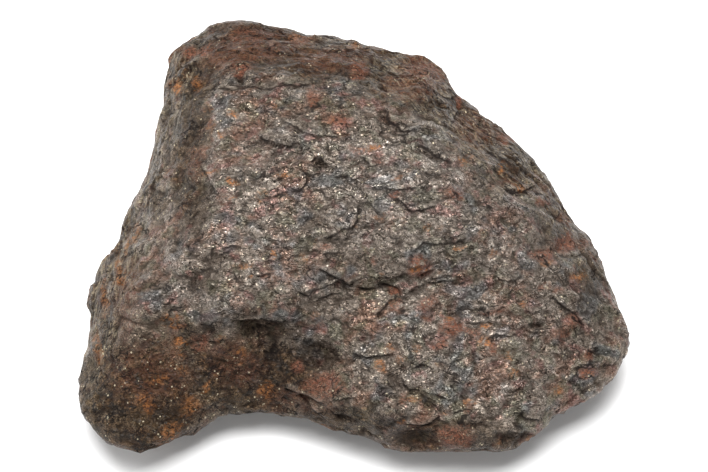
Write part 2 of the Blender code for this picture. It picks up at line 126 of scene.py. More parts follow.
# ---------------------------------------------------------------- relief, in the drawing
# Ledges: height in mm, how far the raised side runs back in units, and the line of the drop. Going
# along the line, the raised side is on the left hand.
LEDGES = [
    (0.50, 16, [(257, 134), (265, 138), (272, 141), (279, 145), (288, 147), (299, 141)]),
    (0.20, 6, [(267, 143), (275, 149), (281, 151), (288, 152)]),
    (0.32, 12, [(276, 120), (286, 124), (295, 128), (304, 133), (312, 136), (322, 135), (333, 137), (346, 138)]),
    (0.30, 10, [(310, 163), (314, 159), (318, 157), (325, 158), (330, 166), (337, 168), (347, 165)]),
    (0.38, 12, [(286, 188), (297, 190), (304, 187), (306, 180), (303, 174), (296, 171)]),
    (0.16, 6, [(292, 167), (295, 165), (299, 161)]),
    (0.20, 8, [(337, 212), (330, 203), (323, 194), (316, 192), (308, 198)]),
    (0.34, 14, [(314, 241), (327, 238), (337, 235), (343, 230), (350, 228), (355, 221), (358, 211), (356, 203)]),
    (0.20, 8, [(359, 202), (366, 202), (372, 204), (378, 211), (385, 213)]),
    (0.50, 14, [(382, 104), (388, 118), (399, 125), (409, 131), (417, 135)]),
    (0.42, 12, [(415, 144), (426, 148), (431, 152), (438, 157), (447, 161), (457, 165)]),
    (0.28, 9, [(378, 138), (381, 131), (384, 127), (380, 121), (374, 117)]),
    (0.30, 8, [(360, 157), (365, 160), (370, 165), (378, 166)]),
    (0.28, 10, [(334, 177), (343, 175), (351, 177), (359, 182)]),
    (0.28, 9, [(370, 187), (375, 188), (380, 189), (386, 187), (397, 188), (409, 188), (419, 190), (424, 188), (428, 185)]),
    (0.14, 6, [(408, 192), (414, 194), (422, 193)]),
    (0.30, 10, [(418, 171), (424, 173), (431, 174), (443, 175)]),
    (0.20, 7, [(437, 186), (444, 188), (449, 186)]),
    (0.42, 10, [(394, 197), (402, 201), (409, 208), (419, 210), (430, 208), (438, 203)]),
    (0.16, 6, [(408, 202), (414, 203), (421, 202), (428, 201)]),
    (0.32, 11, [(410, 251), (417, 247), (423, 242), (432, 243), (446, 242), (460, 241), (472, 237)]),
    (0.18, 8, [(437, 251), (447, 251), (452, 255), (462, 255), (468, 256)]),
    (0.18, 7, [(424, 273), (428, 271), (434, 270)]),
    (0.24, 8, [(429, 284), (436, 282), (442, 280), (448, 281), (456, 278)]),
    (0.18, 6, [(430, 278), (437, 277), (446, 275), (453, 276)]),
    (0.40, 12, [(318, 267), (332, 274), (340, 278), (346, 283), (350, 288)]),
    (0.24, 10, [(350, 287), (362, 288), (375, 288), (385, 285), (395, 287), (399, 291), (402, 297), (407, 294), (412, 289), (420, 285), (428, 282)]),
    (0.26, 9, [(303, 291), (310, 289), (318, 288), (325, 286), (332, 283), (341, 279)]),
    (0.18, 7, [(313, 303), (318, 298), (324, 296), (334, 294), (342, 292)]),
    (0.16, 6, [(297, 246), (303, 247), (309, 245)]),
    (0.24, 8, [(296, 250), (308, 251), (316, 250), (322, 252)]),
    (0.22, 8, [(322, 256), (327, 254), (333, 252), (340, 250)]),
    (0.22, 6, [(282, 245), (287, 247), (291, 249)]),
    (0.24, 7, [(291, 253), (296, 255), (303, 256)]),
    (0.20, 8, [(264, 259), (272, 261), (280, 264)]),
    (0.20, 8, [(256, 276), (262, 275), (270, 273)]),
    (0.28, 10, [(207, 259), (210, 255), (214, 250), (219, 247)]),
    (0.18, 8, [(223, 249), (229, 246), (239, 245), (246, 248)]),
    (0.14, 6, [(238, 213), (242, 209), (245, 206)]),
    (0.12, 6, [(275, 211), (279, 215), (282, 222)]),
    (0.16, 7, [(268, 236), (274, 238), (284, 239)]),
    (0.35, 12, [(503, 186), (510, 188), (518, 190), (528, 188), (536, 185)]),
    (0.18, 7, [(498, 216), (504, 217), (511, 219)]),
    (0.14, 6, [(504, 221), (512, 222), (520, 221), (531, 223)]),
    (0.24, 10, [(494, 274), (499, 278), (507, 282), (514, 281), (523, 275)]),
    (0.16, 7, [(514, 270), (521, 267), (530, 261)]),
    (0.18, 8, [(559, 252), (567, 255), (576, 255), (583, 252)]),
    (0.16, 8, [(537, 250), (547, 248), (560, 250)]),
    (0.16, 7, [(553, 268), (559, 264), (562, 259)]),
    (0.30, 12, [(236, 323), (262, 319), (292, 318)]),
    (0.32, 12, [(284, 384), (300, 391), (315, 397), (327, 400)]),
    (0.25, 9, [(330, 401), (345, 398), (359, 396)]),
    (0.25, 8, [(304, 404), (322, 412)]),
    (0.55, 12, [(551, 291), (556, 298), (560, 302), (566, 308), (572, 311), (578, 316), (582, 321), (585, 329)]),
    (0.20, 8, [(573, 311), (582, 311), (591, 310)]),
    (0.13, 9, [(580, 331), (588, 334), (598, 333), (607, 337), (614, 343)]),
    (0.15, 9, [(590, 349), (599, 346), (607, 350), (614, 352)]),
    (0.17, 8, [(572, 372), (578, 367), (585, 367), (592, 362), (599, 360)]),
    (0.30, 10, [(526, 331), (532, 332), (540, 332), (549, 330)]),
    (0.16, 7, [(525, 310), (536, 311), (550, 310)]),
    (0.18, 7, [(517, 330), (521, 326), (527, 323), (531, 321)]),
    (0.26, 9, [(483, 340), (490, 337), (499, 335), (510, 337), (518, 333)]),
    (0.20, 8, [(461, 320), (470, 321), (480, 323), (489, 323), (497, 319)]),
    (0.20, 7, [(484, 314), (495, 311), (508, 308)]),
    (0.14, 6, [(515, 369), (519, 371), (526, 376)]),
    (0.14, 6, [(549, 353), (554, 354), (560, 355)]),
    (0.16, 7, [(556, 369), (562, 367), (569, 365)]),
    (0.16, 7, [(567, 380), (573, 377), (580, 374)]),
    (0.35, 12, [(349, 351), (372, 356), (397, 354)]),
    (0.28, 8, [(374, 319), (381, 310), (389, 303), (398, 297)]),
    (0.16, 6, [(409, 340), (416, 340), (422, 344)]),
    (0.24, 6, [(405, 357), (409, 356), (413, 353)]),
    (0.34, 10, [(408, 372), (413, 368), (421, 364), (427, 365), (432, 368), (437, 371)]),
    (0.26, 10, [(400, 376), (404, 381), (408, 386), (412, 389), (420, 391), (427, 394), (435, 394), (441, 396), (446, 399), (454, 401)]),
    (0.16, 6, [(421, 393), (424, 397), (431, 398)]),
    (0.14, 6, [(429, 383), (435, 385), (442, 386)]),
    (0.18, 7, [(429, 400), (434, 403), (440, 408)]),
    (0.16, 7, [(451, 352), (461, 354), (469, 352), (476, 351)]),
    (0.18, 7, [(437, 362), (446, 364), (454, 361), (461, 359)]),
    (0.16, 6, [(410, 302), (415, 303), (421, 306)]),
    (0.18, 6, [(429, 309), (435, 308), (441, 306)]),
    (0.45, 12, [(404, 424), (420, 426), (432, 421), (441, 416)]),
    (0.40, 10, [(518, 411), (526, 418), (541, 420)]),
    (0.30, 9, [(214, 89), (240, 85), (275, 85), (322, 81)]),
    (0.20, 8, [(241, 103), (249, 107), (254, 112), (262, 114)]),
    (0.18, 7, [(258, 118), (266, 123), (272, 126)]),
    (0.20, 8, [(449, 128), (452, 121), (455, 113), (461, 109)]),
    (0.07, 6, [(172, 80), (171, 105), (166, 130), (160, 155), (153, 180), (145, 205)]),
    (0.08, 7, [(178, 110), (175, 135), (168, 160), (161, 185)]),
    (0.07, 6, [(141, 198), (132, 225), (122, 248), (112, 262)]),
    (0.08, 7, [(158, 180), (149, 207), (139, 235), (128, 258), (118, 275)]),
    (0.08, 6, [(184, 170), (176, 195), (166, 218), (156, 240)]),
    (0.08, 6, [(113, 268), (106, 290), (101, 315)]),
    (0.26, 9, [(199, 165), (206, 174), (214, 186), (222, 200)]),
    (0.22, 8, [(222, 76), (232, 81), (244, 84), (254, 80)]),
    (0.20, 7, [(178, 66), (187, 68), (198, 64), (206, 58)]),
    (0.18, 7, [(212, 36), (221, 38), (230, 35)]),
    (0.16, 7, [(262, 40), (276, 44), (290, 43), (304, 46)]),
    (0.20, 8, [(322, 48), (336, 52), (350, 50), (362, 55)]),
    (0.18, 8, [(378, 62), (390, 70), (402, 74), (416, 72)]),
    (0.20, 8, [(428, 84), (440, 92), (450, 98), (458, 96)]),
    (0.18, 8, [(470, 118), (480, 126), (490, 134), (500, 136)]),
    (0.20, 8, [(478, 144), (492, 152), (504, 160), (512, 168)]),
]

# Creases: depth in mm, half width in units, and the line. A depth below zero is a ridge.
CREASES = [
    (0.35, 3.0, [(214, 89), (240, 84), (275, 84), (320, 80)]),
    (-0.28, 1.8, [(335, 63), (350, 78), (360, 82), (376, 85)]),
    (0.34, 4.0, [(319, 269), (347, 288), (380, 285), (400, 297), (411, 294), (430, 284), (455, 280)]),
    (0.55, 8.0, [(188, 292), (200, 278), (216, 264)]),
    (0.35, 2.0, [(436, 424), (434, 436)]),
    (0.30, 2.5, [(417, 366), (435, 366)]),
    (0.30, 2.2, [(500, 219), (511, 219)]),
]

# Pits: middle, half sizes, turn in degrees, depth in mm. A depth below zero is a lump.
PITS = [
    (240, 75, 5, 8, 0, 0.7), (459, 107, 3.5, 3.5, 0, 0.7), (385, 88, 4, 3.5, 0, 0.5),
    (285, 137, 15, 8, 0, -0.5), (323, 163, 7, 4.5, 0, 0.40), (262, 327, 30, 11, 0, 0.7),
    (252, 331, 9, 8, 0, 0.4), (315, 357, 21, 14, 20, 0.6), (180, 262, 11, 8, 0, -0.4),
    (172, 285, 9, 8, 0, -0.35), (190, 297, 8, 6, 0, -0.3), (212, 300, 9, 6, 0, -0.3),
    (233, 306, 10, 6, 0, -0.35), (246, 298, 6, 5, 0, -0.25), (130, 293, 8, 5, 0, -0.4),
    (537, 327, 9, 6, 0, 0.5), (595, 354, 7, 5, 0, 0.5), (422, 376, 19, 11, 0, -0.35),
    (387, 411, 14, 10, 0, -0.5), (417, 439, 19, 8, 0, 0.8), (515, 438, 16, 8, 0, 0.7),
    (532, 406, 14, 7, 0, -0.45),
]

# ---------------------------------------------------------------- colour, in the drawing
# Middle, half sizes and strength.
RED = [
    (357, 69, 10, 12, 0.8), (428, 68, 28, 13, 0.7), (445, 77, 6, 5, 1.0), (208, 50, 9, 7, 0.8),
    (240, 65, 7, 4, 0.7), (314, 102, 6, 5, 0.8), (338, 121, 15, 5, 0.9), (394, 194, 5, 4, 0.9), (458, 194, 9, 8, 0.7),
    (461, 101, 5, 5, 0.9), (395, 293, 9, 5, 1.0), (420, 266, 12, 13, 1.0), (375, 264, 5, 5, 0.6), (325, 248, 9, 5, 0.8),
    (396, 305, 8, 6, 0.7), (427, 303, 11, 5, 0.8), (427, 317, 5, 4, 0.5), (452, 328, 15, 11, 1.0), (440, 344, 12, 6, 0.9),
    (472, 333, 9, 5, 0.8), (492, 347, 6, 8, 0.8), (496, 311, 13, 4, 0.7), (543, 254, 14, 7, 0.9), (565, 244, 13, 8, 1.0),
    (555, 243, 6, 4, 0.7), (542, 204, 7, 4, 0.7), (564, 219, 8, 8, 0.6), (585, 243, 8, 6, 0.6), (573, 322, 8, 10, 0.8),
    (560, 333, 10, 6, 0.7), (591, 354, 9, 6, 0.9), (588, 372, 13, 9, 1.0), (557, 293, 5, 4, 0.7), (202, 341, 10, 8, 0.9),
    (300, 367, 7, 7, 0.7), (328, 386, 20, 12, 0.8), (322, 327, 5, 5, 0.6), (456, 437, 18, 13, 0.9), (468, 411, 5, 5, 0.8),
    (255, 46, 44, 13, 0.42), (330, 58, 42, 13, 0.36), (415, 84, 34, 16, 0.38), (478, 128, 24, 20, 0.34), (228, 62, 26, 12, 0.40),
    (150, 372, 44, 34, 0.26), (236, 366, 30, 22, 0.30), (128, 300, 16, 40, 0.30), (300, 398, 40, 14, 0.30), (190, 52, 9, 6, 0.9), (207, 51, 7, 7, 0.9), (240, 66, 11, 5, 1.0), (312, 95, 6, 9, 0.8), (252, 36, 28, 9, 0.6),
    (300, 42, 16, 6, 0.6), (205, 152, 7, 7, 0.6), (196, 165, 10, 16, 0.4), (506, 135, 9, 6, 0.8), (404, 396, 5, 7, 0.7), (474, 383, 5, 2, 0.6), (250, 217, 6, 5, 0.5), (360, 148, 12, 5, 0.5),
    (380, 160, 7, 6, 0.4), (222, 200, 8, 9, 0.4), (370, 188, 6, 3, 0.5), (245, 130, 22, 12, 0.35), (250, 160, 22, 9, 0.3),
    (270, 275, 9, 4, 0.5), (545, 289, 6, 4, 0.6),
]
ORANGE = [
    (182, 344, 6, 6, 1.0), (176, 317, 6, 7, 0.8), (161, 381, 8, 6, 0.9), (174, 434, 10, 8, 0.9), (190, 405, 9, 9, 0.7), (145, 402, 7, 8, 0.6), (242, 352, 6, 7, 0.7),
    (284, 177, 10, 2.6, 1.0), (235, 182, 6, 3.2, 1.0), (232, 199, 5, 3, 0.8), (232, 114, 5, 4, 0.9), (211, 175, 8, 2.5, 0.9),
    (221, 135, 4, 5, 0.7), (262, 195, 6, 5, 0.5), (376, 148, 8, 4, 0.9), (464, 162, 7, 6, 0.8), (380, 217, 6, 5, 0.6),
    (429, 226, 4, 3, 1.0), (457, 246, 5, 3, 0.9), (400, 178, 6, 2.5, 0.7), (419, 268, 8, 5, 0.9), (274, 254, 4, 3.5, 1.0),
    (251, 273, 3, 3, 1.0), (240, 263, 11, 5, 0.6), (302, 259, 6, 4, 0.5), (276, 104, 4, 5, 0.6), (176, 85, 6, 7, 1.0), (195, 82, 4, 6, 0.9),
    (298, 38, 12, 4, 0.7), (137, 232, 4, 14, 0.7), (116, 268, 4, 16, 0.8), (104, 300, 4, 18, 0.7), (96, 345, 4, 20, 0.6), (208, 118, 4, 20, 0.35),
    (128, 245, 5, 11, 0.7), (118, 280, 4, 6, 0.7), (355, 46, 5, 4, 0.8), (490, 112, 6, 3, 0.9), (502, 168, 3, 9, 0.8),
    (484, 326, 7, 4, 1.0), (484, 340, 8, 6, 0.9), (451, 318, 5, 2.5, 0.9), (380, 365, 6, 5, 1.0), (389, 348, 4, 6, 0.7),
    (414, 347, 3, 5, 0.7), (508, 357, 4, 6, 0.7), (513, 374, 6, 5, 1.0), (403, 359, 5, 4, 0.6), (468, 404, 5, 2.5, 0.7),
    (474, 406, 4, 2.5, 0.9), (415, 401, 6, 3, 0.6), (523, 305, 5, 3, 0.8), (559, 391, 7, 4, 0.9), (581, 277, 9, 4, 0.9),
    (492, 255, 4, 8, 0.7), (546, 263, 8, 2.5, 0.8), (522, 188, 11, 2.5, 0.9), (174, 323, 10, 9, 0.8), (183, 345, 4, 4, 1.0),
    (225, 340, 4, 4, 0.6), (160, 380, 7, 6, 1.0), (205, 388, 5, 4, 0.9), (268, 391, 9, 7, 0.8), (170, 435, 12, 11, 0.8),
    (150, 410, 5, 4, 0.9), (182, 360, 4, 11, 0.7), (400, 422, 4, 3, 0.7), (445, 412, 3, 3, 0.7), (588, 376, 8, 4, 0.6),
]
# Painted shade in the hollows, pits and along the near edge, and a darker tone on the bevels.
SHADE_AND_TONE = [
    (246, 148, 40, 9, 0.2), (480, 128, 16, 14, 0.7), (266, 328, 32, 14, 0.8), (262, 370, 66, 30, 0.7),
    (315, 356, 20, 16, 0.7), (202, 336, 22, 18, 0.5), (185, 200, 14, 60, 0.35), (417, 439, 22, 9, 0.8),
    (515, 438, 18, 9, 0.7), (150, 400, 55, 50, 0.6), (330, 414, 40, 10, 0.6), (240, 77, 10, 8, 0.9), (220, 32, 7, 6, 0.8),
    (187, 62, 10, 8, 0.8), (222, 75, 6, 5, 0.6), (260, 42, 64, 22, 0.62), (350, 62, 54, 20, 0.62), (440, 100, 40, 26, 0.62), (500, 152, 32, 34, 0.55),
    (552, 222, 26, 38, 0.45), (592, 296, 20, 46, 0.40), (140, 396, 50, 42, 0.40), (236, 366, 44, 30, 0.34), (108, 320, 20, 70, 0.30),
    (352, 424, 60, 16, 0.30), (190, 125, 12, 50, 0.45), (198, 205, 12, 34, 0.4),
    (323, 163, 7, 4, 0.4), (537, 327, 9, 6, 0.7), (310, 62, 115, 26, 0.5), (400, 446, 60, 12, 0.5), (500, 446, 50, 12, 0.4), (490, 130, 26, 30, 0.3), (458, 420, 6, 4, 0.5),
    (595, 354, 7, 5, 0.7), (200, 285, 18, 12, 0.4),
]
BROWN = [
    (104, 318, 18, 80, 0.9), (128, 246, 14, 50, 0.8), (152, 180, 12, 50, 0.7), (168, 110, 10, 50, 0.6),
    (250, 44, 60, 26, 1.0), (330, 60, 70, 22, 1.0), (400, 72, 50, 28, 1.0), (440, 92, 36, 34, 1.0), (480, 128, 34, 30, 1.0),
    (520, 165, 26, 30, 0.9), (560, 215, 22, 34, 0.7), (590, 262, 18, 34, 0.6), (190, 70, 30, 36, 0.9), (190, 150, 20, 80, 0.8),
    (165, 120, 14, 60, 0.5), (112, 290, 20, 50, 0.7), (170, 340, 50, 30, 0.6), (140, 398, 76, 66, 1.0), (245, 380, 90, 42, 1.0), (105, 420, 40, 40, 0.8),
    (350, 420, 60, 22, 0.7), (450, 438, 80, 18, 0.6), (190, 440, 30, 20, 0.8),
]
# Painted sheen and highlights: places where the colour is lifted to stand for light shining on the crust.
PAINTED_SHEEN = [
    (214, 108, 5, 22, 1.0), (216, 145, 6, 18, 0.9), (211, 186, 7, 20, 0.6), (480, 300, 90, 80, 0.30), (520, 240, 60, 50, 0.30),
    (300, 152, 16, 9, 0.7), (345, 142, 22, 7, 0.6), (262, 128, 20, 8, 0.5),
    (405, 190, 84, 66, 0.5), (255, 190, 50, 70, 0.35), (498, 240, 14, 14, 0.9), (517, 203, 15, 9, 0.8), (535, 263, 4, 4, 1.0), (503, 394, 6, 9, 0.9),
    (294, 232, 6, 6, 1.0), (227, 233, 6, 5, 0.9), (315, 235, 8, 6, 0.8), (248, 268, 5, 4, 1.0), (388, 150, 12, 6, 0.8),
    (430, 168, 14, 9, 0.8), (458, 178, 12, 10, 0.8), (320, 131, 18, 5, 0.8), (345, 149, 9, 5, 0.8), (258, 168, 5, 5, 0.9),
    (218, 118, 6, 12, 0.7), (366, 243, 14, 9, 0.6), (358, 233, 6, 5, 0.7), (420, 160, 34, 30, 0.4), (505, 345, 40, 20, 0.3), (180, 262, 16, 14, 0.7), (182, 292, 22, 12, 0.6),
    (285, 270, 48, 30, 0.4), (228, 302, 26, 12, 0.6), (284, 134, 14, 6, 0.6), (140, 190, 12, 60, 0.5),
    (108, 300, 10, 40, 0.4), (465, 190, 14, 26, 0.4), (510, 200, 12, 8, 0.4), (388, 409, 13, 9, 0.6),
    (422, 378, 18, 10, 0.4), (505, 410, 8, 6, 0.4), (530, 380, 40, 22, 0.3), (560, 360, 30, 20, 0.2),
    (470, 380, 40, 20, 0.3), (430, 110, 20, 30, 0.2),
]


# ---------------------------------------------------------------- shape functions
def closed_curve(points, steps):
    p = np.array(points, float)
    a, b, c, d = np.roll(p, 1, 0), p, np.roll(p, -1, 0), np.roll(p, -2, 0)
    t = np.arange(steps)[:, None, None] / steps
    q = 0.5 * (2 * b + (c - a) * t + (2 * a - 5 * b + 4 * c - d) * t**2 + (3 * b - a - 3 * c + d) * t**3)
    return q.transpose(1, 0, 2).reshape(-1, 2)


def eased(points, rounds):
    p = np.array(points, float)
    for _ in range(rounds):
        p = (np.roll(p, 1, 0) + 2 * p + np.roll(p, -1, 0)) / 4
    return p


def outline_distance(xy, curve):
    a, b = curve, np.roll(curve, -1, 0)
    e = b - a
    best = np.full(len(xy), 1e18)
    inside = np.zeros(len(xy), bool)
    for (ax, ay), (bx, by), (ex, ey) in zip(a, b, e):
        dx, dy = xy[:, 0] - ax, xy[:, 1] - ay
        t = np.clip((dx * ex + dy * ey) / (ex * ex + ey * ey), 0, 1)
        best = np.minimum(best, (dx - ex * t) ** 2 + (dy - ey * t) ** 2)
        crosses = (ay > xy[:, 1]) != (by > xy[:, 1])
        if ey:
            inside ^= crosses & (xy[:, 0] < ax + (xy[:, 1] - ay) * ex / ey)
    return np.sqrt(best) * np.where(inside, -1, 1)


class Surface:
    """A smooth sheet through scattered heights: a thin-plate spline, slightly slack."""

    def __init__(self, points, slack):
        p = np.array(points, float)
        self.at, n = p[:, :2] / 100, len(p)
        k = self.kernel(self.at)
        k[np.arange(n), np.arange(n)] += slack
        plane = np.hstack([np.ones((n, 1)), self.at])
        system = np.block([[k, plane], [plane.T, np.zeros((3, 3))]])
        self.weights = np.linalg.solve(system, np.concatenate([p[:, 2], np.zeros(3)]))

    def kernel(self, xy):
        r2 = ((xy[:, None, :] - self.at[None, :, :]) ** 2).sum(2) + 1e-12
        return 0.5 * r2 * np.log(r2)

    def __call__(self, xy):
        out = np.empty(len(xy))
        for i in range(0, len(xy), 20000):
            q = xy[i : i + 20000] / 100
            out[i : i + 20000] = self.kernel(q) @ self.weights[:-3] + self.weights[-3] + q @ self.weights[-2:]
        return out


class Sheet:
    """A function of the drawing, worked out once on a grid and read between its points."""

    X0, Y0, X1, Y1 = -60.0, -80.0, 768.0, 560.0

    def __init__(self, function, pitch):
        self.pitch = pitch
        self.nx = int((self.X1 - self.X0) / pitch) + 1
        self.ny = int((self.Y1 - self.Y0) / pitch) + 1
        gy, gx = np.mgrid[0 : self.ny, 0 : self.nx]
        xy = np.stack([self.X0 + gx.ravel() * pitch, self.Y0 + gy.ravel() * pitch], axis=1).astype(float)
        self.values = function(xy).reshape(self.ny, self.nx)

    def __call__(self, xy):
        u = np.clip((xy[:, 0] - self.X0) / self.pitch, 0, self.nx - 1.001)
        v = np.clip((xy[:, 1] - self.Y0) / self.pitch, 0, self.ny - 1.001)
        i, j = u.astype(int), v.astype(int)
        f, g = u - i, v - j
        t = self.values
        return (t[j, i] * (1 - f) + t[j, i + 1] * f) * (1 - g) + (t[j + 1, i] * (1 - f) + t[j + 1, i + 1] * f) * g


def lumps(p, size, seed):
    """Smooth noise from -1 to 1 with features of this size, the same each time."""
    q = p / size
    cell = np.floor(q).astype(np.int64)
    f = q - cell
    w = f * f * f * (f * (f * 6 - 15) + 10)
    total = np.zeros(len(p))
    for corner in range(8):
        o = np.array([corner >> 2 & 1, corner >> 1 & 1, corner & 1])
        c = cell + o
        h = (c[:, 0] * 73856093) ^ (c[:, 1] * 19349663) ^ (c[:, 2] * 83492791) ^ (seed * 2654435761)
        h = (h ^ (h >> 13)) * 1274126177 & 0x7FFFFFFF
        h = (h ^ (h >> 16)) & 0x7FFFFFFF
        z = (h % 20011) / 10005.5 - 1
        a = (h // 20011 % 9973) / 9973 * 2 * math.pi
        s = np.sqrt(np.maximum(0, 1 - z * z))
        d = f - o
        dot = d[:, 0] * s * np.cos(a) + d[:, 1] * s * np.sin(a) + d[:, 2] * z
        total += dot * np.prod(np.where(o, w, 1 - w), axis=1)
    return total * 1.6


def cells(p, size, seed):
    """The nearest of scattered points, one to a cell of this size: how far it is, how much further the next
    one is, the way from it, and three numbers from 0 to 1 that belong to it."""
    q = p / size
    base = np.floor(q).astype(np.int64)
    first, second = np.full(len(p), 9.0), np.full(len(p), 9.0)
    way, own = np.zeros((len(p), 3)), np.zeros((len(p), 3))
    for corner in range(27):
        c = base + (corner // 9 - 1, corner // 3 % 3 - 1, corner % 3 - 1)
        h = (c[:, 0] * 73856093) ^ (c[:, 1] * 19349663) ^ (c[:, 2] * 83492791) ^ (seed * 2654435761)
        h = (h ^ (h >> 13)) * 1274126177 & 0x7FFFFFFF
        h = (h ^ (h >> 16)) & 0x7FFFFFFF
        r = np.stack([(h % 1021) / 1021, (h // 1021 % 1031) / 1031, (h // 1052651 % 1019) / 1019], axis=1)
        d = q - c - r
        far = np.sqrt((d * d).sum(1))
        new = far < first
        second = np.where(new, first, np.minimum(second, far))
        first = np.where(new, far, first)
        way = np.where(new[:, None], d, way)
        own = np.where(new[:, None], r, own)
    return first, second - first, way, own


def plates(p, size, tilt, lift, seed):
    """Small flat facets that each lean their own way and stand at their own height, in millimetres."""
    _, gap, way, own = cells(p, size, seed)
    lean = np.roll(own, 1, axis=1) * 2 - 1
    return (size * tilt * (way * lean).sum(1) + lift * (own[:, 1] * 2 - 1)) * ramp(gap, -0.02, 0.16)


def soft_max(a, b, k):
    return np.maximum(a, b) + np.maximum(k - np.abs(a - b), 0) ** 2 / (4 * k)


def ramp(x, lo, hi):
    t = np.clip((x - lo) / (hi - lo), 0, 1)
    return t * t * (3 - 2 * t)


EDGE = closed_curve(np.array(OUTLINE, float) * 1.6 - eased(OUTLINE, 3) * 0.6, 2)
EDGE_EASED = eased(OUTLINE, 14)
edge_sheet = Sheet(lambda xy: outline_distance(xy, EDGE), 2.0)
eased_sheet = Sheet(lambda xy: outline_distance(xy, EDGE_EASED), 3.0)
upper_sheet = Sheet(Surface(HEIGHTS, 0.0006), 3.0)


def drawing_place(p):
    y, z = p[:, 1], p[:, 2] - MIDDLE_HEIGHT
    v = y * math.sin(UP) + z * math.cos(UP)
    w = -y * math.cos(UP) + z * math.sin(UP)
    grow = VIEW_DISTANCE / (VIEW_DISTANCE - w) / UNIT_MM
    return np.stack([MIDDLE[0] + p[:, 0] * grow, MIDDLE[1] - v * grow], axis=1)


def foot_ring(p):
    """1 on the rim of the flat spot, less inside and more outside."""
    out = np.hypot((p[:, 0] - FOOT_CENTRE[0]) / FOOT_RADII[0], (p[:, 1] - FOOT_CENTRE[1]) / FOOT_RADII[1])
    return out * (1 + 0.2 * lumps(p * (1, 1, 0), 14.0, 5))


def solid(p):
    z = p[:, 2]
    at = drawing_place(p)
    edge_height = EDGE_HEIGHT[0] + EDGE_HEIGHT[1] * (457 - at[:, 1]) / 440
    drop = np.maximum(edge_height - z, 0)
    below = np.minimum(drop / edge_height, 1.2)
    hidden = ramp(below, 0.0, 0.45)
    behind = ramp(-at[:, 1], -330, -90)
    edge = edge_sheet(at) * (1 - hidden) + eased_sheet(at) * hidden
    walls = edge * UNIT_MM - EDGE_OUT + WALL_TUCK * below**2 + behind * BACK_TUCK * drop * ramp(drop, 0, 6)
    upper = (z - upper_sheet(at)) * 0.8
    out = foot_ring(p)
    under = np.where(out < 1, out**2 - 1, 2 * (out - 1)) * FOOT_DEPTH - z
    value = soft_max(soft_max(walls, upper, EDGE_ROUND), under, UNDER_ROUND)
    rough = 0.8 * lumps(p, 17.0, 1) + 0.4 * lumps(p, 8.0, 2)
    return value + (0.1 * rough + 1.5 * hidden * (rough + 0.4)) * ramp(out, 1.0, 1.7)


def ray_patches(n):
    """Unit directions over a sphere in six square patches, and the quads that join them."""
    line = np.tan(np.linspace(-math.pi / 4, math.pi / 4, n + 1))
    a, b = np.meshgrid(line, line, indexing="ij")
    step = np.arange((n + 1) ** 2).reshape(n + 1, n + 1)
    square = np.stack([step[:-1, :-1], step[1:, :-1], step[1:, 1:], step[:-1, 1:]], axis=-1).reshape(-1, 4)
    points, quads = [], []
    for axis in range(3):
        for side in (-1, 1):
            v = np.zeros((n + 1, n + 1, 3))
            v[..., axis], v[..., (axis + 1) % 3], v[..., (axis + 2) % 3] = side, a * side, b
            quads.append(square + len(points) * (n + 1) ** 2)
            points.append(v.reshape(-1, 3))
    points = np.concatenate(points)
    points /= np.linalg.norm(points, axis=1)[:, None]
    _, first, where = np.unique(np.round(points, 7), axis=0, return_index=True, return_inverse=True)
    return points[first], where.ravel()[np.concatenate(quads)]


def neighbours(count, quads):
    """Up to four neighbours of each point, and how many there are."""
    ends = np.concatenate([quads[:, [0, 1]], quads[:, [1, 2]], quads[:, [2, 3]], quads[:, [3, 0]]])
    ends = np.unique(np.sort(ends, axis=1), axis=0)
    both = np.concatenate([ends, ends[:, ::-1]])
    both = both[np.argsort(both[:, 0], kind="stable")]
    number = np.bincount(both[:, 0], minlength=count)
    start = np.concatenate([[0], np.cumsum(number)[:-1]])
    slots = np.minimum(np.arange(4)[None, :], number[:, None] - 1)
    near = both[:, 1][start[:, None] + slots]
    share = (np.arange(4)[None, :] < number[:, None]) / number[:, None]
    return near, share


def around(values, near, share):
    """The mean of each point's neighbours."""
    if values.ndim == 1:
        return (values[near] * share).sum(1)
    return (values[near] * share[:, :, None]).sum(1)


def normals(points, quads):
    q = points[quads]
    across = np.cross(q[:, 2] - q[:, 0], q[:, 3] - q[:, 1])
    total = np.stack([
        np.bincount(quads.ravel(), np.repeat(across[:, k], 4), minlength=len(points)) for k in range(3)
    ], axis=1)
    return total / np.maximum(np.linalg.norm(total, axis=1), 1e-12)[:, None]


def surface_points(directions):
    polar = np.arccos(np.clip(directions[:, 2], -1, 1))
    flat = np.linalg.norm(directions[:, :2], axis=1)
    turned = polar - GATHER * np.sin(polar)
    d = np.empty_like(directions)
    d[:, :2] = directions[:, :2] / np.maximum(flat, 1e-9)[:, None] * np.sin(turned)[:, None]
    d[:, 2] = np.cos(turned)
    away = d * SPREAD
    away /= np.linalg.norm(away, axis=1)[:, None]
    lo, hi = np.full(len(away), 2.0), np.full(len(away), 60.0)
    for _ in range(16):
        mid = (lo + hi) / 2
        inside = solid(np.array(CENTRE) + away * mid[:, None]) < 0
        lo, hi = np.where(inside, mid, lo), np.where(inside, hi, mid)
    return np.array(CENTRE) + away * ((lo + hi) / 2)[:, None]


def relaxed(points, near, share, rounds):
    for i in range(rounds):
        points = points + 0.6 * (around(points, near, share) - points)
        if i % 3 == 2 or i == rounds - 1:
            value, step = solid(points), 0.02
            slope = np.stack([(solid(points + step * e) - value) / step for e in np.eye(3)], axis=1)
            move = slope * (value / np.maximum((slope**2).sum(1), 0.05))[:, None]
            length = np.linalg.norm(move, axis=1)[:, None]
            points = points - move * np.minimum(1, 1.0 / np.maximum(length, 1e-9))
    return points


